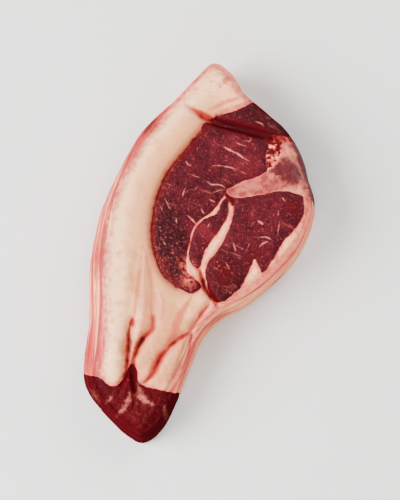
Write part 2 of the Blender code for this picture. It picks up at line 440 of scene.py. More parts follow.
# Larger threads of marbling in the muscles, with their half widths
VEINS = [
    ([(4.6, 38.6), (8.4, 37.1), (11.2, 35.5), (14.0, 34.1), (16.3, 32.4), (19.4, 31.0)], 0.34),
    ([(1.6, 28.7), (4.7, 29.6), (7.9, 29.6), (12.1, 28.7), (15.9, 27.1), (19.6, 25.0)], 0.24),
    ([(0.6, 24.4), (2.8, 23.6), (4.2, 22.6), (7.5, 22.4), (10.2, 20.8)], 0.32),
    ([(3.4, 18.9), (6.5, 20.1), (9.3, 21.0)], 0.16),
    ([(13.0, 38.7), (14.9, 37.8), (17.4, 37.0)], 0.24),
    ([(17.0, 41.0), (18.9, 40.1), (18.2, 39.0), (15.8, 39.0), (15.2, 36.4)], 0.22),
    ([(-5.4, 31.9), (-4.4, 30.3), (-2.8, 29.7)], 0.24),
    ([(-6.0, 26.8), (-2.8, 26.2), (-1.6, 25.6), (1.0, 25.1)], 0.2),
    ([(-13.2, 23.3), (-11.5, 22.8), (-9.8, 22.0)], 0.18),
    ([(-4.2, 23.6), (-6.1, 19.6), (-6.6, 16.2)], 0.18),
    ([(-5.8, 19.4), (-3.4, 20.8), (0.4, 19.4)], 0.12),
    ([(-13.3, 17.9), (-11.9, 15.4), (-11.0, 12.8)], 0.2),
    ([(-13.0, 16.6), (-13.8, 14.6), (-14.2, 12.6)], 0.15),
    ([(-5.4, 11.4), (-3.3, 9.8), (-1.2, 7.6)], 0.3),
    ([(0.2, 14.0), (1.5, 11.3)], 0.2),
    ([(-9.0, 11.4), (-8.5, 7.8)], 0.18),
    ([(-14.8, 4.4), (-13.5, 1.4), (-11.8, -1.0)], 0.2),
    ([(3.2, 17.0), (6.0, 15.8)], 0.16),
    ([(20.4, 37.2), (24.0, 36.5)], 0.14),
    ([(18.4, 47.0), (21.5, 46.2), (23.1, 45.5), (24.2, 43.6)], 0.28),
    ([(24.2, 48.6), (26.6, 47.6)], 0.2),
    ([(13.8, 51.0), (12.0, 47.8)], 0.14),
    ([(30.0, 17.8), (31.7, 15.8)], 0.2),
    ([(28.2, 14.2), (28.9, 12.1), (28.0, 9.6)], 0.2),
    ([(21.0, 9.0), (22.3, 8.2), (23.5, 7.3)], 0.42),
    ([(18.5, 5.0), (19.1, 7.5), (20.6, 8.8)], 0.16),
    ([(21.2, -1.4), (23.3, 0.5), (25.4, 1.1)], 0.26),
    ([(20.6, 2.4), (24.3, 2.8), (27.2, 1.0)], 0.22),
    ([(18.4, 1.2), (16.8, -3.0)], 0.18),
    ([(29.6, 11.0), (28.9, 6.4), (28.0, 2.2)], 0.13),
    ([(12.0, 1.2), (13.2, -3.0)], 0.2),
    ([(3.9, 9.0), (2.6, 6.0)], 0.16),
    ([(9.0, -6.0), (11.0, -9.6)], 0.16),
]

# Soft regions: x, y, radius and strength
TONES = [
    (14, 34, 8, 0.5),
    (18, 28, 6, 0.5),
    (0, 34, 6, 0.1),
    (-13, 2, 7, -0.9),
    (-13, 14, 5, -0.4),
    (-8, -11, 6, -0.7),
    (2, 4, 5, 1.0),
    (24, 8, 8, 0.45),
    (10, -15, 8, -0.9),
    (26, 50, 9, -0.9),
    (-24, -60, 16, -1.6),
]
# Seams of fat painted deep red; along the fold above the loin eye, from x 5 to 36, the red is partly painted
# shade
RED_SEAMS = [
    (11.5, 17.3, 1.6, 1.3),
    (12.2, 15.4, 1.3, 0.8),
    (9.4, 19.2, 1.5, 0.8),
    (5.4, 47.2, 1.6, 1.0),
    (9.0, 46.2, 3.0, 1.6),
    (14.0, 44.8, 3.0, 1.6),
    (19.0, 43.4, 3.2, 1.6),
    (24.6, 41.8, 3.2, 1.4),
    (30.4, 41.0, 2.6, 1.2),
    (35.5, 42.0, 3.4, 1.2),
    (1.4, -13.6, 1.6, 0.6),
]
RED_SIDES = [
    (-20, 47, 9, 1.3),
    (-29, 35, 8, 1.1),
    (-38, 18, 8, 0.8),
    (-42, -4, 11, 0.8),
    (-44, -38, 13, 1.1),
    (36, 46, 7, 2.0),
    (42, 36, 8, 2.0),
    (45, 25, 7, 1.6),
    (24, 54, 4, 1.0),
]
REDS = [
    (8, -11, 6, 0.9),
    (34.5, 14, 3, 1.0),
    (21, -4, 3, 0.8),
    (-14, -8, 3, 0.8),
    (24, 50, 4, 0.6),
    (11, 19, 2.4, 1.0),
    (-24, -58, 13, 1.3),
    (-16, -54, 4, 0.6),
]
FLECKED = [(-11, -3, 8, 1.0), (-12, 12, 6, 0.6), (-5, -12, 5, 1.2)]
PALE_LEAN = [(-4.4, -7.6, 2.4, 1.0), (-4.2, -12.8, 2.4, 0.9), (-1.8, -10.4, 1.6, 0.8)]
WARM_FAT = [
    (-19, -14, 8, 1.0),
    (-15, -24, 8, 1.0),
    (-24, -2, 5, 0.5),
    (-27, -38, 3.4, 0.8),
    (-20, -38, 6, 1.2),
    (-12, -34, 8, 1.1),
    (-12, -46, 8, 1.1),
    (3, -24, 6, 0.5),
]
ROSY_FAT = [(6, 62, 7, 1.0), (12, 58, 6, 1.0), (4, 54, 4, 0.6)]
MARROW = [(32.0, 27.2, 4.2, 1.2), (28.6, 28.6, 2.6, 0.7), (35.4, 24.6, 2.8, 0.8), (33.0, 31.5, 2.4, 0.6)]
PALE_BONE = [
    (36, 19.6, 4, 1.0),
    (30, 20.0, 3, 0.5),
    (38.5, 27, 2.2, 0.8),
    (33.5, 35, 3, 1.0),
    (20, 22, 3, 0.2),
]

MUSCLES = {
    "loin_eye": LOIN_EYE,
    "upper_muscle": UPPER_MUSCLE,
    "strip_muscle": STRIP_MUSCLE,
    "tenderloin": TENDERLOIN,
    "flank_meat": FLANK_MEAT,
}


def linear(code):
    """An sRGB hex colour as linear red, green, blue and full alpha."""
    parts = [int(code[i : i + 2], 16) / 255 for i in (1, 3, 5)]
    return tuple(p / 12.92 if p <= 0.04045 else ((p + 0.055) / 1.055) ** 2.4 for p in parts) + (1.0,)


class ChopShape(bpy.types.PropertyGroup):
    """Sizes of the chop's fine surface"""

    cell: bpy.props.FloatProperty(
        name="Fat cell",
        description="Width of one face of the fat's cut face",
        default=0.38 * MM,
        unit="LENGTH",
    )
    fine_cell: bpy.props.FloatProperty(
        name="Lean cell",
        description="Width of one face of the lean's cut face",
        default=0.24 * MM,
        unit="LENGTH",
    )
    crease_depth: bpy.props.FloatProperty(
        name="Crease depth",
        description="How deep the bloody folds are",
        default=1.4 * MM,
        unit="LENGTH",
    )
    crease_width: bpy.props.FloatProperty(
        name="Crease width",
        description="How far a fold slopes on each side",
        default=1.0 * MM,
        unit="LENGTH",
    )
    muscle_crown: bpy.props.FloatProperty(
        name="Muscle crown",
        description="How far the muscles swell",
        default=0.35 * MM,
        unit="LENGTH",
    )
    ragged: bpy.props.FloatProperty(
        name="Ragged edge",
        description="Wander of the edges between lean and fat",
        default=0.3 * MM,
        unit="LENGTH",
    )


def tint(name, description, code):
    """A colour that a user may change."""
    return bpy.props.FloatVectorProperty(
        name=name, description=description, default=linear(code), size=4, subtype="COLOR", min=0, max=1
    )


class ChopColours(bpy.types.PropertyGroup):
    """Colours of the raw meat, fat and bone"""

    lean_dark: tint("Dark lean", "Shaded maroon between the fibre bundles", "#22050a")
    lean: tint("Lean", "Maroon of the bundles", "#3b0a13")
    lean_bright: tint("Bright lean", "Where the cut lean has bloomed", "#58151e")
    lean_red: tint("Red lean", "Wet, deep red edges of the muscles", "#45050b")
    marbling: tint("Marbling", "Pink threads and flecks of fat in the lean", "#b4524e")
    fat: tint("Fat", "Cream of the fat cover", "#f8ab76")
    # Pale fat, also used as the painted highlight along the cover's crest
    pale_fat_and_highlight: tint("Pale fat", "Palest parts of the cover", "#fbbf90")
    # The next three paint shade on the cover's slope down to the loin eye; the first is also the fat's own
    # yellow cast
    warm_fat_and_shade: tint("Warm fat", "Fat with a yellow cast under the loin eye", "#c27a4c")
    fat_shade: tint("Shaded fat", "Fat that slopes down to the loin eye", "#cb8c5c")
    fat_edge_shade: tint("Fat edge", "Fat where it meets the lean", "#8f4630")
    fat_pink: tint("Pink fat", "Fat near the skin and in the seams", "#cb5045")
    # Blood; in the creases and in small pits it is painted shade as well
    blood: tint("Blood", "Blood in the creases", "#35060b")
    fresh_blood: tint("Fresh blood", "Bright blood on the fat", "#92221b")
    stain: tint("Stain", "Vessels and fat stained by blood", "#ac3222")
    skin: tint("Skin", "Thin red muscle and membrane on the outer side", "#9a2630")
    bone: tint("Bone", "Sawn face of the bone", "#86302f")
    bone_pale: tint("Pale bone", "Hard pale parts of the bone", "#cc7058")
    marrow: tint("Marrow", "Spongy centre of the bone", "#450d14")
    floor: tint("Floor", "Plain pale floor", "#dedcd9")


def smooth_line(controls, steps, closed=True):
    """A Catmull-Rom curve through the control points, of any number of coordinates."""
    points = np.array(controls, float)
    count = len(points)
    spans = count if closed else count - 1
    line = []
    for i in range(spans):
        if closed:
            before, start, end, after = (points[(i + k) % count] for k in (-1, 0, 1, 2))
        else:
            before, start, end, after = (points[min(max(i + k, 0), count - 1)] for k in (-1, 0, 1, 2))
        for step in range(steps):
            t = step / steps
            line.append(
                0.5
                * (
                    2 * start
                    + (end - before) * t
                    + (2 * before - 5 * start + 4 * end - after) * t**2
                    + (3 * start - before - 3 * end + after) * t**3
                )
            )
    if not closed:
        line.append(points[-1])
    return np.array(line)


def evenly(line, spacing):
    """A closed line cut into equal steps of about this length."""
    ring = np.vstack([line, line[:1]])
    travelled = np.concatenate([[0], np.cumsum(np.linalg.norm(np.diff(ring[:, :2], axis=0), axis=1))])
    places = np.linspace(0, travelled[-1], max(12, round(travelled[-1] / spacing)), endpoint=False)
    return np.column_stack([np.interp(places, travelled, ring[:, k]) for k in range(ring.shape[1])])


def outward(line):
    """Unit normals that point out of a closed outline."""
    along = np.roll(line, -1, axis=0) - np.roll(line, 1, axis=0)
    along /= np.linalg.norm(along, axis=1, keepdims=True)
    x, y = line[:, 0], line[:, 1]
    clockwise = np.sum(x * np.roll(y, -1) - y * np.roll(x, -1)) < 0
    normals = np.column_stack([along[:, 1], -along[:, 0]])
    return -normals if clockwise else normals


def ease(value):
    """0 to 1 with level ends."""
    value = np.clip(value, 0, 1)
    return value * value * (3 - 2 * value)


def hump(distance, width):
    """1 on a line, fading with the distance from it."""
    return np.exp(-((distance / width) ** 2))


def away_from(line, places, closed=True, limit=FAR):
    """The distance of each place from a line, found only within the limit."""
    nearest = np.full(len(places), limit)
    low, high = line.min(axis=0) - limit, line.max(axis=0) + limit
    near = np.flatnonzero(((places > low) & (places < high)).all(axis=1))
    close = places[near]
    found = np.full(len(near), limit)
    ends = np.roll(line, -1, axis=0) if closed else line[1:]
    for start, end in zip(line if closed else line[:-1], ends):
        run = end - start
        share = np.clip((close - start) @ run / max(run @ run, 1e-12), 0, 1)
        offset = close - start - share[:, None] * run
        found = np.minimum(found, np.hypot(offset[:, 0], offset[:, 1]))
    nearest[near] = found
    return nearest


def away_from_any(lines, places, share=1.0):
    """Distance from the nearest of some open lines, which taper to their ends from these half widths."""
    found = np.full(len(places), FAR)
    for controls, half in lines:
        line = smooth_line(controls, 6, False)
        low, high = line.min(axis=0) - FAR, line.max(axis=0) + FAR
        near = np.flatnonzero(((places > low) & (places < high)).all(axis=1))
        close = places[near]
        gap = found[near]
        for i in range(len(line) - 1):
            run = line[i + 1] - line[i]
            along = np.clip((close - line[i]) @ run / max(run @ run, 1e-12), 0, 1)
            offset = close - line[i] - along[:, None] * run
            travelled = (i + along) / (len(line) - 1)
            width = share * half * np.clip(3 * np.minimum(travelled, 1 - travelled), 0.05, 1)
            apart = np.sqrt(np.sum(offset**2, axis=1) + LINE_SOFTNESS) - LINE_CORE
            gap = np.minimum(gap, apart - width)
        found[near] = gap
    return found


def spread(regions, places):
    """The sum of some soft round regions."""
    total = np.zeros(len(places))
    for x, y, radius, strength in regions:
        total += strength * np.exp(-np.sum((places - (x, y)) ** 2, axis=1) / radius**2)
    return total


def inside(line, places):
    """Which places lie in a closed outline, by crossings to the right of each."""
    found = np.zeros(len(places), bool)
    for (x0, y0), (x1, y1) in zip(line, np.roll(line, -1, axis=0)):
        if y0 == y1:
            continue
        across = (places[:, 1] < y0) != (places[:, 1] < y1)
        found ^= across & (places[:, 0] < x0 + (places[:, 1] - y0) * (x1 - x0) / (y1 - y0))
    return found


def ripple(places, size, seed=0.0):
    """Smooth noise from about -1 to 1 at places in millimetres, with waves of this size."""
    spots = np.column_stack([places, np.zeros((len(places), 3 - places.shape[1]))]) / size + seed * 7.13
    return np.array([noise.noise(Vector(spot)) for spot in spots])


def waves(places, kinds):
    """The sum of some ripples, each given by its height, its size and its noise."""
    return sum(rise * ripple(places, size, seed) for rise, size, seed in kinds)


def bundles(places, size):
    """Rounded cells of this size, as fibre bundles end on at a cut: 0 at their edges, 1 in the middle."""
    spots = np.column_stack([places / size, np.zeros(len(places))])
    gaps = [noise.voronoi(Vector(spot))[0] for spot in spots]
    return np.array([ease((second - first) * 2.2) for first, second, *_ in gaps])


def local_thickness(places):
    """Full under the muscles, thinner towards the end of the tail."""
    tail = ease((TAIL_STARTS_Y - places[:, 1]) / (TAIL_STARTS_Y - TAIL_ENDS_Y))
    return THICKNESS - (THICKNESS - TAIL_THICKNESS) * tail


def face_edge():
    """The outline of the upper cut face."""
    rim = smooth_line(OUTER, 4)
    return rim[:, :2] - rim[:, 2:] * outward(rim[:, :2])


def ragged_outline(controls, wander, spacing=0.5):
    """A muscle's outline with the small wander of a real one."""
    line = evenly(smooth_line(controls, 8), spacing)
    return line + (wander * waves(line, EDGE_WAVES))[:, None] * outward(line)


def face_height(places, shape):
    """Height of the upper cut face in millimetres, with its crowned muscles, folds and grain."""
    height = local_thickness(places) - FACE_BELOW_THICKNESS
    edge = face_edge()
    from_edge = np.where(inside(edge, places), away_from(edge, places), 0)
    height -= RIM_DROP * (1 - ease(from_edge / RIM_WIDTH))
    lean = np.zeros(len(places))
    border = np.full(len(places), FAR)
    for outline in [*MUSCLES.values(), BONE]:
        line = smooth_line(outline, 5)
        gap = away_from(line, places)
        border = np.minimum(border, gap)
        if outline is not BONE:
            lean = np.maximum(lean, np.where(inside(line, places), ease(gap / MUSCLE_SHOULDER), 0))
    fat = lean == 0
    swell = FAT_SWELL * ease(np.minimum(border, from_edge) / FAT_SHOULDER)
    height += np.where(fat, swell, shape.muscle_crown / MM * lean)
    cover = away_from(smooth_line(COVER_EDGE, 6, False), places, False, FAR_OF_COVER)
    height -= COVER_DROP * hump(cover, np.where(fat, COVER_SLOPE_FAT, COVER_SLOPE_LEAN))
    crest = away_from(smooth_line(COVER_CREST, 6, False), places, False, FAR_OF_COVER)
    tail = ease((CREST_TAIL_STARTS_Y - places[:, 1]) / CREST_TAIL_LENGTH)
    height += (CREST_RISE + CREST_RISE_TAIL * tail) * hump(crest, CREST_WIDTH - CREST_WIDTH_TAIL * tail)
    height -= BORDER_DROP * hump(border, BORDER_WIDTH)
    crease = np.maximum(away_from_any(CREASES, places, 0.4), 0)
    height -= shape.crease_depth / MM * hump(crease, shape.crease_width / MM)
    height -= FOLD_DROP * hump(np.maximum(away_from_any(FOLDS, places), 0), FOLD_WIDTH)
    height += waves(places, FACE_WAVES)
    grain = ease(lean / 0.5)
    rough = 1 + 2.0 * np.clip(spread(FLECKED, places), 0, 1)
    height += grain * rough * (0.08 * (bundles(places, BUNDLE_WIDTH) - 0.6) + 0.05 * ripple(places, 0.9, 5))
    grainy = inside(smooth_line(GRAINY_FAT, 5), places)
    height += np.where(grainy, 0.22 * (bundles(places, FAT_GRAIN_WIDTH) - 0.6), 0)
    flank = places[:, 1] < FLANK_STARTS_Y
    lumps = 0.4 * (bundles(places[flank], LUMP_WIDTH) - 0.6) + 0.2 * ripple(places[flank], 1.7, 8)
    height[flank] += grain[flank] * lumps
    top = HIGHEST - SOFT_TOP_BELOW
    return np.where(height > top, top + SOFT_LIMIT * np.tanh((height - top) / SOFT_LIMIT), height)


def deselect():
    """Leaves edit mode, with nothing selected."""
    if bpy.context.object and bpy.context.object.mode != "OBJECT":
        bpy.ops.object.mode_set(mode="OBJECT")
    bpy.ops.object.select_all(action="DESELECT")


def read_points(made):
    """The piece's points as rows of x, y and z in metres."""
    points = np.empty(len(made.data.vertices) * 3)
    made.data.vertices.foreach_get("co", points)
    return points.reshape(-1, 3)


def write_points(made, points):
    """Moves the piece's points to these rows of x, y and z in metres."""
    made.data.vertices.foreach_set("co", np.ascontiguousarray(points, float).ravel())
    made.data.update()


def extrude_all(lift, times=1):
    """Extrudes everything that is selected straight up or down, so many times over."""
    bpy.ops.object.mode_set(mode="EDIT")
    for _ in range(times):
        bpy.ops.mesh.extrude_region_move(TRANSFORM_OT_translate={"value": (0, 0, lift)})
    bpy.ops.object.mode_set(mode="OBJECT")


def close_and_orient():
    """Closes open ends and points all faces outwards."""
    bpy.ops.object.mode_set(mode="EDIT")
    bpy.ops.mesh.select_all(action="SELECT")
    bpy.ops.mesh.fill_holes(sides=0)
    bpy.ops.mesh.select_all(action="SELECT")
    bpy.ops.mesh.normals_make_consistent(inside=False)
    bpy.ops.object.mode_set(mode="OBJECT")


def cut(made, other, operation):
    """A Boolean with another piece, applied."""
    deselect()
    bpy.context.view_layer.objects.active = made
    made.select_set(True)
    step = made.modifiers.new("Cut", "BOOLEAN")
    step.operation = operation
    step.solver = "MANIFOLD"
    step.object = other
    bpy.ops.object.modifier_apply(modifier=step.name)


def copied(made, name):
    """A copy with its own mesh."""
    deselect()
    bpy.context.view_layer.objects.active = made
    made.select_set(True)
    bpy.ops.object.duplicate()
    twin = bpy.context.object
    twin.name = name
    return twin


def outline_prism(name, line):
    """A closed outline as a solid right through the chop, whose walls wander below the cut face."""
    deselect()
    bpy.ops.mesh.primitive_circle_add(vertices=len(line), radius=0.05, fill_type="NGON")
    made = bpy.context.object
    made.name = name
    step = (THICKNESS + 2 * OVERRUN) / WALL_LEVELS
    write_points(made, np.column_stack([line * MM, np.full(len(line), -OVERRUN * MM)]))
    extrude_all(step * MM, WALL_LEVELS)
    points = read_points(made) / MM
    depth = WALL_WANDER * ease((THICKNESS - WALL_WANDER_BELOW - points[:, 2]) / THICKNESS)
    points[:, 0] += depth * ripple(points, WALL_WAVE, 21)
    points[:, 1] += depth * ripple(points, WALL_WAVE, 22)
    write_points(made, points * MM)
    close_and_orient()
    return made


def leaning_sides(spacing):
    """The chop's outer side as rings from below its foot to above its cut face."""
    rim = evenly(smooth_line(OUTER, 8), spacing)
    count = len(rim)
    deselect()
    bpy.ops.mesh.primitive_circle_add(vertices=count, radius=1, fill_type="NOTHING")
    made = bpy.context.object
    made.name = "chop_sides"
    extrude_all(1.0, SIDE_LEVELS)
    points = read_points(made)
    turn = np.round(np.arctan2(points[:, 1], points[:, 0]) / math.tau * count).astype(int) % count
    level = points[:, 2] / SIDE_LEVELS
    profile = np.array(SIDE_PROFILE)
    height = profile[0, 0] + (profile[-1, 0] - profile[0, 0]) * level
    share = np.interp(height, profile[:, 0], profile[:, 1])
    ring = rim[turn]
    normals = outward(rim[:, :2])[turn]
    flat = ring[:, :2] - (share * ring[:, 2])[:, None] * normals
    lift = height * local_thickness(flat)
    spots = np.column_stack([flat, lift])
    drawn = spots * (1, 1, SIDE_RIPPLE_STRETCH)
    swell = SIDE_BULGE * ripple(spots, SIDE_BULGE_WIDTH, 11)
    swell = swell + SIDE_RIPPLE * ripple(drawn, SIDE_RIPPLE_WIDTH, 12) - SIDE_DRAWN_IN
    flat = flat + (swell * ease(lift / FOOT_HEIGHT))[:, None] * normals
    write_points(made, np.column_stack([flat, lift]) * MM)
    close_and_orient()
    return made


def relief_block(shape, cell):
    """A block whose top is the upper cut face's relief and whose foot is flat."""
    rim = np.array(OUTER)[:, :2]
    low, high = rim.min(axis=0) - 1.5, rim.max(axis=0) + 1.5
    across, along = np.ceil((high - low) * MM / cell).astype(int)
    deselect()
    bpy.ops.mesh.primitive_grid_add(x_subdivisions=int(across), y_subdivisions=int(along), size=1)
    made = bpy.context.object
    made.name = "chop_relief"
    places = read_points(made)[:, :2] * (high - low) + (low + high) / 2
    write_points(made, np.column_stack([places * MM, np.zeros(len(places))]))
    wall = made.modifiers.new("Thickness", "SOLIDIFY")
    wall.thickness = THICKNESS * MM
    wall.offset = 1
    bpy.ops.object.modifier_apply(modifier=wall.name)
    points = read_points(made)
    upper = points[:, 2] > THICKNESS * MM / 2
    points[upper, 2] = face_height(points[upper, :2] / MM, shape) * MM
    points[~upper, 2] = 0
    write_points(made, points)
    close_and_orient()
    return made


def paint(made, outlines, kind):
    """Stores at each point what colours it: distances in millimetres and soft regions."""
    points = read_points(made) / MM
    places = points[:, :2]
    normals = np.empty(len(points) * 3)
    made.data.vertex_normals.foreach_get("vector", normals)
    tilt = np.abs(normals.reshape(-1, 3)[:, 2])
    rim = face_edge()
    from_rim = away_from(rim, places) * np.where(inside(rim, places), 1, -1)
    values = {
        "edge": np.min([away_from(line, places) for line in outlines], axis=0),
        "rim": from_rim,
        "side": 1 - ease((tilt - SIDE_TILT) / SIDE_TILT),
    }
    if kind != "bone":
        values["cover"] = away_from(smooth_line(COVER_EDGE, 6, False), places, False, FAR_OF_COVER_COLOUR)
        values["crease"] = away_from_any(CREASES, places)
    if kind == "fat":
        grainy = smooth_line(GRAINY_FAT, 5)
        values["stain"] = away_from_any(STAINS, places)
        values["reddened"] = away_from_any(REDDENED, places)
        values["grainy"] = np.where(inside(grainy, places), away_from(grainy, places), 0)
        values["warm"] = spread(WARM_FAT, places)
        values["rosy"] = spread(ROSY_FAT, places)
        values["red"] = spread(RED_SEAMS, places)
        values["bloody"] = spread(RED_SIDES, places)
        values["crest"] = away_from(smooth_line(COVER_CREST, 6, False), places, False, FAR_OF_COVER_COLOUR)
    elif kind == "lean":
        values["vein"] = away_from_any(VEINS, places)
        values["lobe"] = away_from_any(LOBES, places)
        values["tone"] = spread(TONES, places)
        values["red"] = spread(REDS, places)
        values["flecked"] = spread(FLECKED, places)
        values["pale"] = spread(PALE_LEAN, places)
    else:
        values["pale"] = spread(PALE_BONE, places)
        values["marrow"] = spread(MARROW, places)
    for name, value in values.items():
        layer = made.data.attributes.new(name, "FLOAT", "POINT")
        layer.data.foreach_set("value", np.ascontiguousarray(value, np.float32))
    # Each point's nearest place on the outer side, found for a share of the points at a time
    outline = smooth_line(OUTER, 8)[:, :2]
    parts = np.array_split(places, 60)
    gaps = (np.linalg.norm(part[:, None] - outline, axis=2) for part in parts)
    nearest = np.concatenate([gap.argmin(axis=1) for gap in gaps])
    turn = math.tau * nearest / len(outline)
    across = points[:, 2] + from_rim
    band = np.column_stack([BAND_RADIUS * np.cos(turn), BAND_RADIUS * np.sin(turn), across])
    layer = made.data.attributes.new("band", "FLOAT_VECTOR", "POINT")
    layer.data.foreach_set("vector", np.ascontiguousarray(band, np.float32).ravel())


def finished(made, node, look):
    """Smooth, dressed and riding where its solid was."""
    deselect()
    bpy.context.view_layer.objects.active = made
    made.select_set(True)
    bpy.ops.object.shade_smooth_by_angle(angle=math.radians(50))
    made.data.materials.clear()
    made.data.materials.append(look)
    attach(made, "root")
    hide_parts(node)


# Settings that many shader nodes share
SMOOTH = {"interpolation_type": "SMOOTHSTEP"}
COLOUR = {"data_type": "RGBA"}
PLUS = {"operation": "ADD"}
LESS = {"operation": "SUBTRACT"}
TIMES = {"operation": "MULTIPLY"}
TIMES_PLUS = {"operation": "MULTIPLY_ADD"}
LEAST = {"operation": "MINIMUM"}
MOST = {"operation": "MAXIMUM"}


def fill(socket, value):
    """Links another node's output to a socket, or sets its number, colour or vector."""
    if isinstance(value, bpy.types.NodeSocket):
        socket.id_data.links.new(value, socket)
    elif value is not None:
        socket.default_value = value


def add_node(tree, kind, *inputs, output=None, **settings):
    """Adds a shader node with its settings and fills its inputs, in the order that it shows them."""
    made = tree.nodes.new("ShaderNode" + kind)
    for name, value in settings.items():
        setattr(made, name, value)
    for socket, value in zip([s for s in made.inputs if s.enabled], inputs):
        fill(socket, value)
    return made.outputs[output] if output else next(s for s in made.outputs if s.enabled)


def new_material(name, painted=()):
    """A material, its own add_node, its place in millimetres and the values painted on the piece."""
    made = bpy.data.materials.new(name)
    made.use_nodes = True
    add = partial(add_node, made.node_tree)
    place = add("Mapping", add("TexCoord", output="Object"), None, None, (1 / MM, 1 / MM, 1 / MM))
    return made, add, place, {key: add("Attribute", output="Fac", attribute_name=key) for key in painted}


def give_finish(made, finish):
    """Fills the inputs of the material's own shader."""
    for name, value in finish.items():
        fill(made.node_tree.nodes["Principled BSDF"].inputs[name], value)


def strokes(add, place, width, turn, stretch, detail=2):
    """Noise drawn out into strokes of this width in millimetres, turn and length."""
    drawn = add("Mapping", place, None, (0, 0, turn), (1, stretch, 1), vector_type="TEXTURE")
    return add("TexNoise", drawn, 1 / width, detail, 0.55, None, 0.3)


def along_side(add):
    """Coordinates that run round the chop's outer side, drawn out along it."""
    band = add("Attribute", output="Vector", attribute_name="band")
    return add("Mapping", band, None, None, (0.1, 0.1, 1))


def red_side(add, colours):
    """Thin layers of blood, red muscle and membrane that run round the cut side of the lean and bone; the
    dark blood also serves as painted shade on the side.
    """
    layers = add("TexNoise", along_side(add), 1 / 2.6, 4, 0.6, None, 0.5)
    red = add("MapRange", layers, 0.4, 0.62, **SMOOTH)
    bright = add("MapRange", layers, 0.58, 0.76, 0, 0.4, **SMOOTH)
    wall = add("Mix", red, colours.blood, colours.lean_red, **COLOUR)
    return add("Mix", bright, wall, colours.skin, **COLOUR)


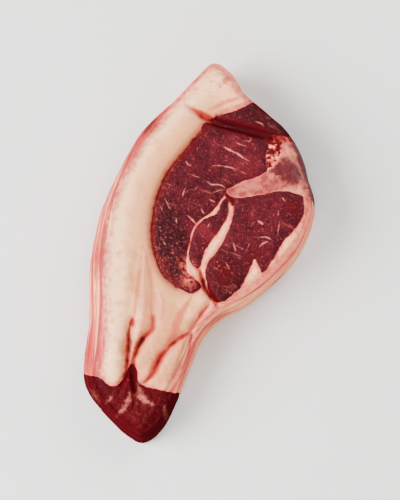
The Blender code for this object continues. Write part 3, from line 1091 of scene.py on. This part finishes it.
def raw_lean(name, colours, darker=0.0, flecks=1.0, wet=0.09):
    """Raw lamb muscle cut across the grain: moist maroon bundles, short pink flecks of fat, wet glints."""
    painted = ("edge", "cover", "rim", "crease", "side", "vein", "lobe", "tone", "red", "flecked", "pale")
    made, add, place, at = new_material(name, painted)

    # Maroon that lightens and darkens over a few millimetres. Real fibres are about 0.1 mm wide, too fine
    # for the render, so the grain is drawn 0.8 mm wide
    grain = add("TexNoise", place, 1 / 0.8, 4, 0.65)
    level = add("Math", grain, 0.7, add("Math", at["tone"], 0.3, **TIMES), **TIMES_PLUS)
    level = add("Math", add("TexNoise", place, 1 / 4.5, 3, 0.55), 0.8, level, **TIMES_PLUS)
    lit = add("MapRange", level, 0.55, 0.8, **SMOOTH)
    colour = add("Mix", lit, colours.lean_dark, colours.lean, **COLOUR)
    bloomed = add("MapRange", level, 0.75, 1.15, **SMOOTH)
    colour = add("Mix", bloomed, colour, colours.lean_bright, **COLOUR)

    # Deep red where the lean meets the fat cover, and in some regions
    wander = add("MapRange", add("TexNoise", place, 1 / 1.3, 3, 0.55), 0.3, 0.7, -0.3, 0.3, **SMOOTH)
    sway = add("MapRange", add("TexNoise", place, 1 / 3.0, 1, 0.55), 0.3, 0.7, -0.3, 0.3, **SMOOTH)
    cover = add("MapRange", add("Math", at["cover"], wander, **PLUS), 0.6, 2.4, 0.8, 0, **SMOOTH)
    red = add("Math", at["red"], add("MapRange", grain, 0.3, 0.6, 0.5, 1, **SMOOTH), cover, **TIMES_PLUS)
    colour = add("Mix", add("Math", red, 0.85, **LEAST), colour, colours.lean_red, **COLOUR)

    # Faint walls between fibre bundles 1.1 mm wide
    bent = add("VectorMath", place, add("TexNoise", place, 0.6, output="Color"), **PLUS)
    bundle = add("TexVoronoi", bent, 1 / 1.1, feature="DISTANCE_TO_EDGE")
    walls = add("MapRange", bundle, 0, 0.1, 0.03, 0, **SMOOTH)
    colour = add("Mix", walls, colour, colours.marbling, **COLOUR)

    # Painted shade of small pits where the cut is rough, in the colour of blood
    painted_pit_shade = add("MapRange", add("TexNoise", place, 1.0, 2, 0.5), 0.52, 0.64, **SMOOTH)
    painted_pit_shade = add("Math", add("Math", painted_pit_shade, at["flecked"], **TIMES), 0.8, **LEAST)
    colour = add("Mix", painted_pit_shade, colour, colours.blood, **COLOUR)

    # Flecks of fat 0.5 mm wide, upright in some regions and slanting in others
    which = add("MapRange", add("TexNoise", place, 1 / 9.0, 1, 0.55), 0.46, 0.54, **SMOOTH)
    fleck = add("Mix", which, strokes(add, place, 0.5, 1.13, 2.4), strokes(add, place, 0.5, -0.15, 2.4))
    fleck = add("Math", at["flecked"], 0.035, fleck, **TIMES_PLUS)
    fleck = add("MapRange", fleck, 0.56, 0.8, 0, 0.42, **SMOOTH)
    colour = add("Mix", add("Math", fleck, flecks, **TIMES), colour, colours.marbling, **COLOUR)
    septa = add("MapRange", strokes(add, place, 1.1, 1.13, 9, 3), 0.58, 0.78, 0, 0.3, **SMOOTH)
    colour = add("Mix", add("Math", septa, which, **TIMES), colour, colours.marbling, **COLOUR)

    # Threads of marbling that fade in and out
    vein = add("MapRange", add("Math", sway, 0.25, at["vein"], **TIMES_PLUS), -0.16, 0.13, 0.85, 0, **SMOOTH)
    broken = add("MapRange", add("TexNoise", place, 1 / 1.6, 2, 0.55), 0.3, 0.6, 0.35, 1, **SMOOTH)
    vein = add("Math", vein, broken, **TIMES)
    colour = add("Mix", vein, colour, colours.marbling, **COLOUR)
    colour = add("Mix", add("Math", vein, 0.12, **TIMES), colour, colours.pale_fat_and_highlight, **COLOUR)

    # Pale lean beside the strip and pink lobes of fat in the flank
    pale = add("MapRange", add("TexNoise", place, 1 / 1.4, 3, 0.55), 0.4, 0.6, **SMOOTH)
    pale = add("Math", add("Math", at["pale"], pale, **TIMES), 0.85, **LEAST)
    colour = add("Mix", pale, colour, colours.fat_pink, **COLOUR)
    lobe = add("MapRange", add("Math", wander, 1.6, at["lobe"], **TIMES_PLUS), -1.2, 0.6, 0.8, 0, **SMOOTH)
    patchy = add("MapRange", add("TexNoise", place, 1 / 1.2, 3, 0.55), 0.3, 0.6, 0.45, 1, **SMOOTH)
    lobe = add("Math", lobe, patchy, **TIMES)
    colour = add("Mix", lobe, colour, colours.marbling, **COLOUR)
    colour = add("Mix", add("Math", lobe, 0.12, **TIMES), colour, colours.pale_fat_and_highlight, **COLOUR)

    # Redder at the edge, blood and painted shade in the creases, layered on the side
    border = add("MapRange", add("Math", at["edge"], wander, **PLUS), 0.0, 0.3, 0.3, 0, **SMOOTH)
    colour = add("Mix", border, colour, colours.skin, **COLOUR)
    crease = add("Math", at["crease"], sway, **PLUS)
    wet_red = add("MapRange", crease, 0.0, 2.6, 0.95, 0, **SMOOTH)
    colour = add("Mix", wet_red, colour, colours.lean_red, **COLOUR)
    bloody = add("MapRange", crease, -0.6, 1.1, 0.95, 0, **SMOOTH)
    colour = add("Mix", bloody, colour, colours.blood, **COLOUR)
    rim = add("MapRange", add("Math", wander, 3.0, at["rim"], **TIMES_PLUS), -3.0, 2.0, 0.7, 0, **SMOOTH)
    colour = add("Mix", rim, colour, red_side(add, colours), **COLOUR)
    if darker:
        colour = add("Mix", darker, colour, colours.blood, **COLOUR)

    # Moist on the cut face, dull on the side and in the creases
    roughness = add("MapRange", add("TexNoise", place, 1 / 1.6, 4, 0.55), 0.3, 0.75, 0.4, 0.65, **SMOOTH)
    gloss = add("MapRange", at["side"], 0, 1, wet, 0.01, **SMOOTH)
    gloss = add("Math", gloss, add("MapRange", crease, 0, 2.4, 0.2, 1, **SMOOTH), **TIMES)
    gloss = add("Math", gloss, add("MapRange", at["rim"], 0, 2.5, 0.1, 1, **SMOOTH), **TIMES)
    height = add("Math", grain, 1.4, add("MapRange", bundle, 0, 0.3, 0, 0.25, **SMOOTH), **TIMES_PLUS)
    height = add("Math", fleck, 0.5, height, **TIMES_PLUS)
    finish = {
        "Base Color": colour,
        "Roughness": add("Math", roughness, add("Math", at["side"], 0.85, **TIMES), **MOST),
        "Normal": add("Bump", 0.6, 0.12 * MM, None, height),
        "IOR": 1.36,
        "Specular IOR Level": gloss,
    }
    give_finish(made, finish)
    return made


def raw_fat(name, colours):
    """Raw lamb fat: waxy cream with faint vessels, a painted highlight along the crest, painted shade in tan
    as it rounds to the lean, red streaks outside.
    """
    painted = ("edge", "cover", "rim", "crease", "side", "stain", "reddened", "grainy")
    painted += ("warm", "rosy", "red", "bloody", "crest")
    made, add, place, at = new_material(name, painted)

    # Cream with a painted highlight along the crest, yellower under the loin eye, faintly pink in clouds 4.5
    # mm wide
    soft = add("TexNoise", place, 1 / 4.5, 4, 0.6)
    crest = add("Math", at["crest"], add("MapRange", soft, 0.3, 0.7, -1.5, 1.5, **SMOOTH), **PLUS)
    off_crest_highlight = add("MapRange", crest, 1.0, 8.0, **SMOOTH)
    colour = add("Mix", off_crest_highlight, colours.pale_fat_and_highlight, colours.fat, **COLOUR)
    warm = add("Math", at["warm"], add("MapRange", soft, 0.3, 0.7, -0.2, 0.2, **SMOOTH), **PLUS)
    yellow = add("MapRange", warm, 0.1, 1.0, 0, 0.9, **SMOOTH)
    colour = add("Mix", yellow, colour, colours.warm_fat_and_shade, **COLOUR)
    clouds = add("MapRange", soft, 0.52, 0.8, 0, 0.4, **SMOOTH)
    colour = add("Mix", clouds, colour, colours.fat_pink, **COLOUR)

    # Pale fibres 1.6 mm wide; rosy strands and dark dots at the top
    fibres = strokes(add, place, 1.6, 0.12, 8)
    threads = add("MapRange", fibres, 0.5, 0.75, 0, 0.25, **SMOOTH)
    colour = add("Mix", threads, colour, colours.pale_fat_and_highlight, **COLOUR)
    strands = add("MapRange", strokes(add, place, 1.3, 1.25, 5), 0.46, 0.7, 0, 0.5, **SMOOTH)
    colour = add("Mix", add("Math", at["rosy"], strands, **TIMES), colour, colours.fat_pink, **COLOUR)
    dots = add("MapRange", add("TexVoronoi", place, 1 / 3.4), 0.06, 0.17, 0.5, 0, **SMOOTH)
    colour = add("Mix", add("Math", at["rosy"], dots, **TIMES), colour, colours.blood, **COLOUR)

    # Painted shade where the cover rounds down to the loin eye: tan, then ochre, then brown, and red at the
    # very edge
    wander = add("MapRange", add("TexNoise", place, 1 / 1.8, 4, 0.55), 0.3, 0.7, -0.45, 0.45, **SMOOTH)
    cover = add("Math", wander, 0.5, at["cover"], **TIMES_PLUS)
    shade_tan = add("MapRange", cover, 3.0, 12.0, 0.9, 0, **SMOOTH)
    colour = add("Mix", shade_tan, colour, colours.fat_shade, **COLOUR)
    shade_ochre = add("MapRange", cover, 1.6, 6.0, 0.7, 0, **SMOOTH)
    colour = add("Mix", shade_ochre, colour, colours.warm_fat_and_shade, **COLOUR)
    shade_brown = add("MapRange", cover, 0.6, 3.2, 0.9, 0, **SMOOTH)
    colour = add("Mix", shade_brown, colour, colours.fat_edge_shade, **COLOUR)

    # Elsewhere it turns pink and then red beside the lean and the bone
    apart = add("MapRange", add("TexNoise", place, 1 / 5.0, 2, 0.55), 0.35, 0.6, 0.55, 1, **SMOOTH)
    apart = add("Math", apart, add("MapRange", cover, 0.6, 1.6, **SMOOTH), **TIMES)
    near = add("MapRange", add("Math", wander, 0.8, at["edge"], **TIMES_PLUS), 0.2, 2.0, 0.9, 0, **SMOOTH)
    colour = add("Mix", add("Math", near, apart, **TIMES), colour, colours.fat_pink, **COLOUR)
    border = add("MapRange", add("Math", wander, 0.4, at["edge"], **TIMES_PLUS), 0.0, 0.4, 0.75, 0, **SMOOTH)
    colour = add("Mix", add("Math", border, apart, **TIMES), colour, colours.skin, **COLOUR)
    colour = add("Mix", add("MapRange", cover, 0.2, 1.4, 1, 0, **SMOOTH), colour, colours.lean_red, **COLOUR)

    # Grains of fat 1.5 mm wide in red lean, beside the bone
    lumps = add("TexVoronoi", place, 1 / 1.5, feature="SMOOTH_F1")
    grains = add("Math", wander, 0.5, lumps, **TIMES_PLUS)
    pink = add("MapRange", grains, 0.2, 0.5, 1, 0, **SMOOTH)
    cream = add("MapRange", grains, 0.0, 0.28, 0.8, 0, **SMOOTH)
    grain_tone = add("Mix", pink, colours.lean_red, colours.fat_pink, **COLOUR)
    grain_tone = add("Mix", cream, grain_tone, colours.fat, **COLOUR)
    grainy = add("MapRange", add("Math", at["grainy"], wander, **PLUS), 0.3, 0.8, **SMOOTH)
    colour = add("Mix", grainy, colour, grain_tone, **COLOUR)

    # Stains, then bright blood round the creases, and dark blood with painted shade in the widest of them
    sway = add("MapRange", add("TexNoise", place, 1 / 3.4, 1, 0.55), 0.3, 0.7, -0.22, 0.22, **SMOOTH)
    stain = add("MapRange", add("Math", wander, 0.5, at["stain"], **TIMES_PLUS), -0.6, 1.0, 0.7, 0, **SMOOTH)
    colour = add("Mix", stain, colour, colours.stain, **COLOUR)
    crease = add("Math", at["crease"], sway, **PLUS)
    flush = add("MapRange", crease, 0.2, 2.4, 0.35, 0, **SMOOTH)
    colour = add("Mix", flush, colour, colours.fat_pink, **COLOUR)
    fresh = add("MapRange", add("Math", at["reddened"], sway, **PLUS), -0.6, 0.5, 0.95, 0, **SMOOTH)
    colour = add("Mix", fresh, colour, colours.fresh_blood, **COLOUR)
    fresh = add("MapRange", crease, 0.0, 0.65, 0.95, 0, **SMOOTH)
    colour = add("Mix", fresh, colour, colours.fresh_blood, **COLOUR)
    red = add("MapRange", add("Math", wander, 0.6, at["red"], **TIMES_PLUS), 0.2, 0.9, **SMOOTH)
    colour = add("Mix", red, colour, colours.lean_red, **COLOUR)
    blood_and_shade_core = add("MapRange", crease, -0.6, 0.04, 1, 0, **SMOOTH)
    colour = add("Mix", blood_and_shade_core, colour, colours.blood, **COLOUR)

    # The outer side: pink fat under torn streaks of red muscle and pale membrane, 2 to 3 mm wide
    along = along_side(add)
    pale = add("Math", at["side"], 0.13, add("TexNoise", along, 1 / 3.2, 4, 0.6, None, 0.6), **TIMES_PLUS)
    pale = add("Math", at["bloody"], -0.09, pale, **TIMES_PLUS)
    pale = add("MapRange", pale, 0.54, 0.66, 0, 0.8, **SMOOTH)
    outer = add("Mix", pale, colours.fat_pink, colours.fat, **COLOUR)
    red = add("TexNoise", along, 1 / 2.4, 5, 0.62, None, 0.8)
    red = add("Math", at["bloody"], 0.13, red, **TIMES_PLUS)
    red = add("Math", at["side"], -0.07, red, **TIMES_PLUS)
    outer = add("Mix", add("MapRange", red, 0.41, 0.56, 0, 0.9, **SMOOTH), outer, colours.skin, **COLOUR)
    torn = add("MapRange", red, 0.54, 0.66, 0, 0.75, **SMOOTH)
    outer = add("Mix", torn, outer, colours.fresh_blood, **COLOUR)
    bloody = add("MapRange", add("Math", red, 4.0, at["bloody"], **TIMES_PLUS), 3.3, 4.2, 0, 0.9, **SMOOTH)
    outer = add("Mix", bloody, outer, colours.blood, **COLOUR)
    rim = add("Math", wander, 1.8, at["rim"], **TIMES_PLUS)
    rim = add("Math", rim, add("Math", at["bloody"], 2.2, **TIMES), **LESS)
    outer_share = add("MapRange", rim, 1.4, 4.4, 0.6, 0, **SMOOTH)
    colour = add("Mix", outer_share, colour, outer, **COLOUR)
    outer_share = add("MapRange", rim, -0.4, 2.0, 0.95, 0, **SMOOTH)
    colour = add("Mix", outer_share, colour, outer, **COLOUR)

    # Waxy where it is pale, dull where it is dark and on the side
    roughness = add("MapRange", add("TexNoise", place, 1 / 3.0, 4, 0.55), 0.3, 0.7, 0.36, 0.55, **SMOOTH)
    gloss = add("MapRange", add("SeparateColor", colour), 0.1, 0.7, 0.06, 0.35, **SMOOTH)
    gloss = add("Math", gloss, add("MapRange", at["side"], 0, 1, 1, 0.1, **SMOOTH), **TIMES)
    height = add("Math", grainy, grains, add("Math", fibres, 0.3, **TIMES), **TIMES_PLUS)
    height = add("Math", add("TexNoise", place, 1 / 1.6, 2, 0.5), 0.5, height, **TIMES_PLUS)
    finish = {
        "Base Color": colour,
        "Roughness": add("Math", roughness, add("Math", at["side"], 0.8, **TIMES), **MOST),
        "Normal": add("Bump", 0.3, 0.12 * MM, None, height),
        "IOR": 1.45,
        "Specular IOR Level": gloss,
        "Subsurface Weight": 0.2,
        "Subsurface Radius": (1.0, 0.5, 0.35),
        "Subsurface Scale": 0.9 * MM,
    }
    give_finish(made, finish)
    return made


def sawn_bone(name, colours):
    """Bone sawn across: greyish pink face, pale hard parts, dark spongy marrow in its pores."""
    made, add, place, at = new_material(name, ("edge", "rim", "side", "pale", "marrow"))

    # Blotches 3 mm wide from the saw's smear, pale where the bone is hard
    wander = add("MapRange", add("TexNoise", place, 1 / 2.4, 2, 0.55), 0.3, 0.7, -0.35, 0.35, **SMOOTH)
    blotch = add("TexNoise", place, 1 / 3.0, 3, 0.5)
    light = add("MapRange", blotch, 0.42, 0.62, 0, 0.5, **SMOOTH)
    colour = add("Mix", light, colours.bone, colours.bone_pale, **COLOUR)
    dark = add("MapRange", blotch, 0.46, 0.3, 0, 0.35, **SMOOTH)
    colour = add("Mix", dark, colour, colours.marrow, **COLOUR)
    pale = add("MapRange", add("Math", at["pale"], wander, **PLUS), 0.3, 0.9, 0, 0.9, **SMOOTH)
    colour = add("Mix", pale, colour, colours.bone_pale, **COLOUR)

    # Marrow, darker in its pores
    pores = add("TexNoise", place, 1 / 1.6, 4, 0.6)
    marrow = add("MapRange", add("Math", at["marrow"], wander, **PLUS), 0.15, 1.0, **SMOOTH)
    marrow = add("Math", marrow, add("MapRange", pores, 0.34, 0.6, 0.8, 1, **SMOOTH), **TIMES)
    colour = add("Mix", marrow, colour, colours.marrow, **COLOUR)

    # Pink membrane round it and red layers on the side
    border = add("MapRange", add("Math", wander, 0.6, at["edge"], **TIMES_PLUS), 0.1, 0.7, 0.5, 0, **SMOOTH)
    colour = add("Mix", border, colour, colours.fat_pink, **COLOUR)
    rim = add("MapRange", add("Math", at["rim"], wander, **PLUS), -0.3, 1.2, 0.95, 0, **SMOOTH)
    height = add("Math", pores, -1.0, add("TexNoise", place, 1 / 0.6, 4, 0.55), **TIMES_PLUS)
    finish = {
        "Base Color": add("Mix", rim, colour, red_side(add, colours), **COLOUR),
        "Roughness": 0.42,
        "Normal": add("Bump", 0.5, 0.15 * MM, None, height),
        "IOR": 1.5,
        "Specular IOR Level": add("MapRange", at["side"], 0, 1, 0.2, 0.01, **SMOOTH),
    }
    give_finish(made, finish)
    return made


def painted_board(name, colour):
    """Board with matt paint, which gives a plain pale floor with hardly a cloud in it."""
    made, add, place, _ = new_material(name)
    darker = [0.97 * part for part in colour[:3]] + [1]
    cloud = add("TexNoise", place, 1 / 60, 2, 0.55)
    give_finish(made, {"Base Color": add("Mix", cloud, darker, colour, **COLOUR), "Roughness": 0.7})
    return made


class MESH_OT_chop_blank(bpy.types.Operator):
    """Shape the uncut chop and the solids that part its muscles and bone"""

    bl_idname = "mesh.chop_blank"
    bl_label = "Uncut chop"

    def execute(self, context):
        shape = context.scene.chop_shape
        for name, cell in (("chop_whole", shape.cell), ("chop_whole_fine", shape.fine_cell)):
            whole = leaning_sides(SIDE_STEP)
            block = relief_block(shape, cell)
            cut(whole, block, "INTERSECT")
            whole.name = name
            bpy.data.objects.remove(block)
        for name, outline in [*MUSCLES.items(), ("bone", BONE)]:
            outline_prism("way_" + name, ragged_outline(outline, shape.ragged / MM))
        return {"FINISHED"}


class MESH_OT_chop_lean(bpy.types.Operator):
    """Cut the five muscles out of the chop and give them raw lean"""

    bl_idname = "mesh.chop_lean"
    bl_label = "Muscles"

    def execute(self, context):
        colours = context.scene.chop_colours
        bright = raw_lean("raw lamb lean", colours)
        looks = {
            "upper_muscle": raw_lean("raw lamb lean, darker", colours, darker=0.25),
            "flank_meat": raw_lean("raw lamb flank", colours, darker=0.25, flecks=0.3, wet=0.04),
        }
        for name in MUSCLES:
            meat = copied(bpy.data.objects["chop_whole_fine"], name + "_lean")
            cut(meat, bpy.data.objects["way_" + name], "INTERSECT")
            cut(meat, bpy.data.objects["way_bone"], "DIFFERENCE")
            paint(meat, [ragged_outline(MUSCLES[name], context.scene.chop_shape.ragged / MM)], "lean")
            finished(meat, name, looks.get(name, bright))
        return {"FINISHED"}


class MESH_OT_chop_bone(bpy.types.Operator):
    """Cut the T-shaped bone out of the chop"""

    bl_idname = "mesh.chop_bone"
    bl_label = "Bone"

    def execute(self, context):
        bone = copied(bpy.data.objects["chop_whole_fine"], "sawn_bone")
        cut(bone, bpy.data.objects["way_bone"], "INTERSECT")
        paint(bone, [ragged_outline(BONE, context.scene.chop_shape.ragged / MM)], "bone")
        finished(bone, "bone", sawn_bone("sawn lamb bone", context.scene.chop_colours))
        return {"FINISHED"}


class MESH_OT_chop_fat(bpy.types.Operator):
    """Take the muscles and the bone out of the chop, which leaves its fat"""

    bl_idname = "mesh.chop_fat"
    bl_label = "Fat"

    def execute(self, context):
        fat = copied(bpy.data.objects["chop_whole"], "fat_cover")
        for name in [*MUSCLES, "bone"]:
            cut(fat, bpy.data.objects["way_" + name], "DIFFERENCE")
        ragged = context.scene.chop_shape.ragged / MM
        outlines = [ragged_outline(line, ragged) for line in [*MUSCLES.values(), BONE]]
        paint(fat, outlines, "fat")
        finished(fat, "fat", raw_fat("raw lamb fat", context.scene.chop_colours))
        for helper in [o for o in bpy.data.objects if o.name.startswith(("way_", "chop_whole"))]:
            bpy.data.objects.remove(helper)
        return {"FINISHED"}


class SCENE_OT_chop_stage(bpy.types.Operator):
    """Add the pale floor, the soft lights and the camera"""

    bl_idname = "scene.chop_stage"
    bl_label = "Floor, light and camera"

    def execute(self, context):
        deselect()
        bpy.ops.mesh.primitive_plane_add(size=6, location=(0, 0, 0))
        floor = context.object
        floor.name = "floor"
        floor.data.materials.append(painted_board("matt painted board", context.scene.chop_colours.floor))
        # Where each soft light stands, how wide it is and its power, in metres and watts
        lights = {
            "key": ((-0.76, -0.1, 0.62), 0.7, 36.0),
            "back": ((0.5, 0.62, 0.6), 0.7, 13.0),
            "front": ((-0.1, -0.85, 0.5), 0.7, 9.0),
        }
        for name, (place, size, power) in lights.items():
            bpy.ops.object.light_add(type="AREA", location=place)
            lamp = context.object
            lamp.name = name
            lamp.data.size = size
            lamp.data.energy = power
            lamp.rotation_euler = (-Vector(place)).to_track_quat("-Z", "Y").to_euler()
        world = bpy.data.worlds.new("soft room")
        world.use_nodes = True
        world.node_tree.nodes["Background"].inputs["Color"].default_value = (1, 1, 1, 1)
        world.node_tree.nodes["Background"].inputs["Strength"].default_value = 0.5
        context.scene.world = world
        low, high = CAD_BOX
        centre = (Vector(low) + Vector(high)) / 2
        elevation = math.radians(80)
        distance = 0.52
        spot = centre + distance * Vector((0, -math.cos(elevation), math.sin(elevation)))
        bpy.ops.object.camera_add(location=spot)
        camera = context.object
        camera.data.lens = 100
        camera.rotation_euler = (centre - spot).to_track_quat("-Z", "Y").to_euler()
        context.scene.camera = camera
        return {"FINISHED"}


class VIEW3D_PT_loin_chop(bpy.types.Panel):
    """The chop's pieces, sizes and colours"""

    bl_label = "Loin Chop"
    bl_space_type = "VIEW_3D"
    bl_region_type = "UI"
    bl_category = "Loin Chop"

    def draw(self, context):
        for kind in OPERATORS:
            self.layout.operator(kind.bl_idname)
        for group in (context.scene.chop_shape, context.scene.chop_colours):
            for name in group.bl_rna.properties.keys():
                if name not in ("rna_type", "name"):
                    self.layout.prop(group, name)


OPERATORS = (MESH_OT_chop_blank, MESH_OT_chop_lean, MESH_OT_chop_bone, MESH_OT_chop_fat, SCENE_OT_chop_stage)
CLASSES = (ChopShape, ChopColours, *OPERATORS, VIEW3D_PT_loin_chop)


def register():
    for kind in CLASSES:
        bpy.utils.register_class(kind)
    bpy.types.Scene.chop_shape = bpy.props.PointerProperty(type=ChopShape)
    bpy.types.Scene.chop_colours = bpy.props.PointerProperty(type=ChopColours)


def unregister():
    del bpy.types.Scene.chop_colours
    del bpy.types.Scene.chop_shape
    for kind in reversed(CLASSES):
        bpy.utils.unregister_class(kind)


def main():
    register()
    bpy.ops.mesh.chop_blank()
    bpy.ops.mesh.chop_lean()
    bpy.ops.mesh.chop_bone()
    bpy.ops.mesh.chop_fat()
    bpy.ops.scene.chop_stage()


if __name__ == "__main__":
    main()
